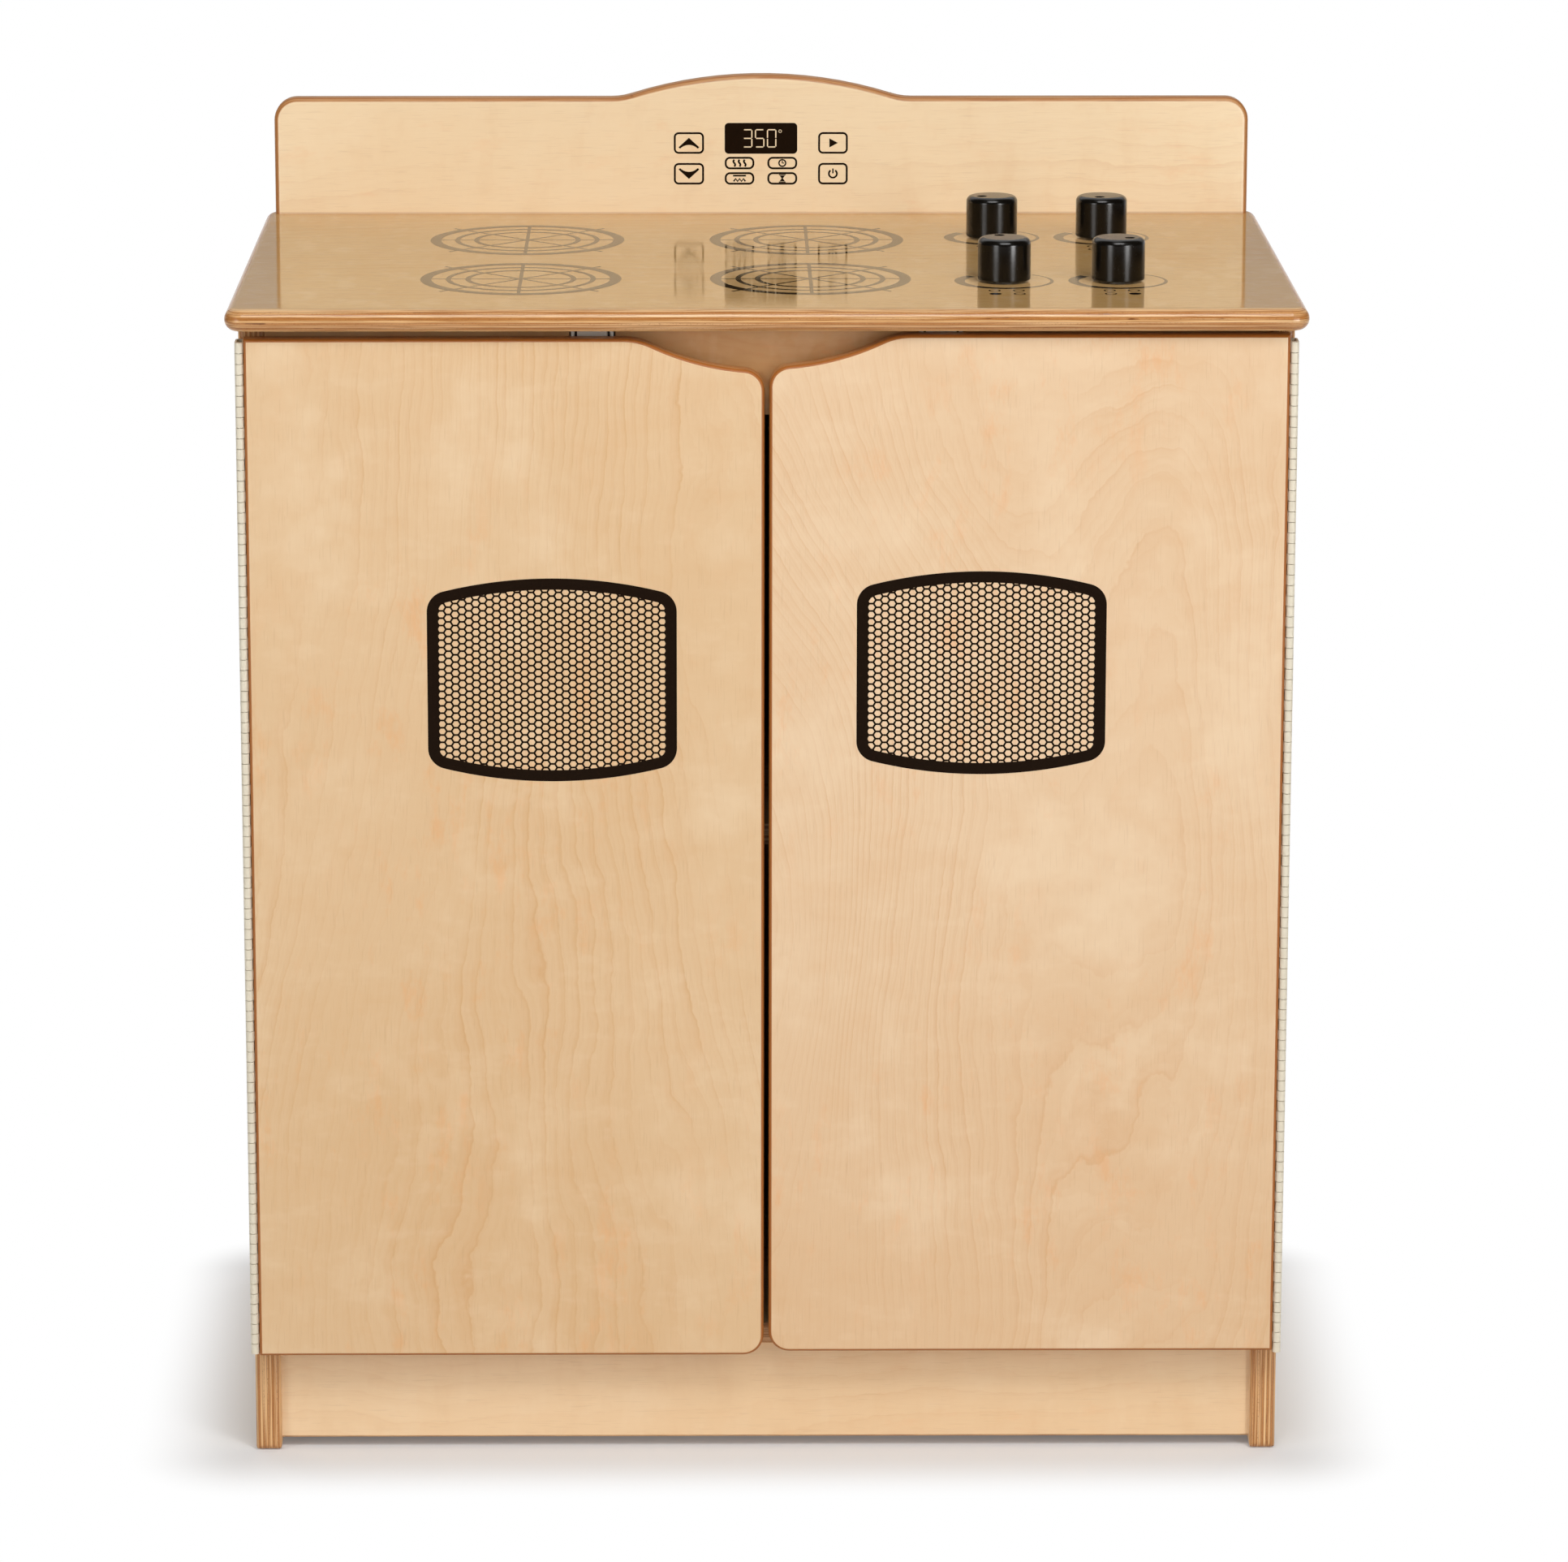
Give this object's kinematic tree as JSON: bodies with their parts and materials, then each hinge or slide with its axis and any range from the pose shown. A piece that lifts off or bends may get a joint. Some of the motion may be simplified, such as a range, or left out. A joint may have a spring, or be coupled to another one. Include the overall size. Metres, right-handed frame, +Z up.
{
  "type": "toy oven",
  "caption": "Plywood play stove with an arched backsplash, two hinged doors with a finger hold, shelves inside and turning knobs on the worktop.",
  "frame": {"origin": "on the floor, under the middle of the worktop", "axes": "+Z up, +Y from the doors to the backsplash, +X to the right seen from the front"},
  "size_m": [0.61, 0.381, 0.7655],
  "materials": {
    "birch": "clear satin lacquer",
    "worktop_birch": "clear gloss lacquer",
    "cream_steel": "cream powder coat",
    "zinc_steel": "zinc plated",
    "magnet": "dull nickel plated",
    "dark_steel": "blackened",
    "black_wood": "black semi-gloss lacquer",
    "brass": "turned",
    "nylon": "moulded",
    "black_print": "printed ink under lacquer",
    "brown_print": "printed ink under lacquer"
  },
  "bodies": {
    "cabinet": {"worktop": "worktop_birch", "backsplash": "birch", "left_side": "birch", "right_side": "birch", "back_panel": "birch", "bottom_shelf": "birch", "middle_shelf": "birch", "front_rail": "birch", "rear_rail": "birch", "toe_kick": "birch", "left_cleat": "birch", "right_cleat": "birch", "dowels": "birch", "cleat_screws": "zinc_steel", "backsplash_screws": "zinc_steel", "back_panel_screws": "zinc_steel", "left_frame_leaf": "cream_steel", "right_frame_leaf": "cream_steel", "left_hinge_pin": "zinc_steel", "right_hinge_pin": "zinc_steel", "left_frame_leaf_screws": "cream_steel", "right_frame_leaf_screws": "cream_steel", "left_catch_housing": "zinc_steel", "right_catch_housing": "zinc_steel", "left_catch_magnet": "magnet", "right_catch_magnet": "magnet", "left_catch_poles": "dark_steel", "right_catch_poles": "dark_steel", "catch_screws": "zinc_steel", "knob_bushings": "nylon", "knob_washers": "zinc_steel"},
    "left_door": {"left_door": "birch", "left_door_leaf": "cream_steel", "left_door_leaf_screws": "cream_steel", "left_strike_plate": "zinc_steel", "left_strike_screw": "zinc_steel"},
    "right_door": {"right_door": "birch", "right_door_leaf": "cream_steel", "right_door_leaf_screws": "cream_steel", "right_strike_plate": "zinc_steel", "right_strike_screw": "zinc_steel"},
    "front_left_knob": {"front_left_knob": "black_wood", "front_left_insert": "brass", "front_left_bolt": "zinc_steel"},
    "front_right_knob": {"front_right_knob": "black_wood", "front_right_insert": "brass", "front_right_bolt": "zinc_steel"},
    "back_left_knob": {"back_left_knob": "black_wood", "back_left_insert": "brass", "back_left_bolt": "zinc_steel"},
    "back_right_knob": {"back_right_knob": "black_wood", "back_right_insert": "brass", "back_right_bolt": "zinc_steel"}
  },
  "joints": [
    {"name": "left_door_hinge", "type": "hinge", "parent": "cabinet", "child": "left_door", "pos_m": [-0.2973, -0.179, 0.362], "axis": [0, 0, -1], "range_deg": [0, 180]},
    {"name": "right_door_hinge", "type": "hinge", "parent": "cabinet", "child": "right_door", "pos_m": [0.2973, -0.179, 0.362], "axis": [0, 0, 1], "range_deg": [0, 180]},
    {"name": "front_left_knob_turn", "type": "hinge", "parent": "cabinet", "child": "front_left_knob", "pos_m": [0.1373, -0.0885, 0.68], "axis": [0, 0, 1], "continuous": true},
    {"name": "front_right_knob_turn", "type": "hinge", "parent": "cabinet", "child": "front_right_knob", "pos_m": [0.203, -0.0885, 0.68], "axis": [0, 0, 1], "continuous": true},
    {"name": "back_left_knob_turn", "type": "hinge", "parent": "cabinet", "child": "back_left_knob", "pos_m": [0.1373, 0.0755, 0.68], "axis": [0, 0, 1], "continuous": true},
    {"name": "back_right_knob_turn", "type": "hinge", "parent": "cabinet", "child": "back_right_knob", "pos_m": [0.203, 0.0755, 0.68], "axis": [0, 0, 1], "continuous": true}
  ]
}
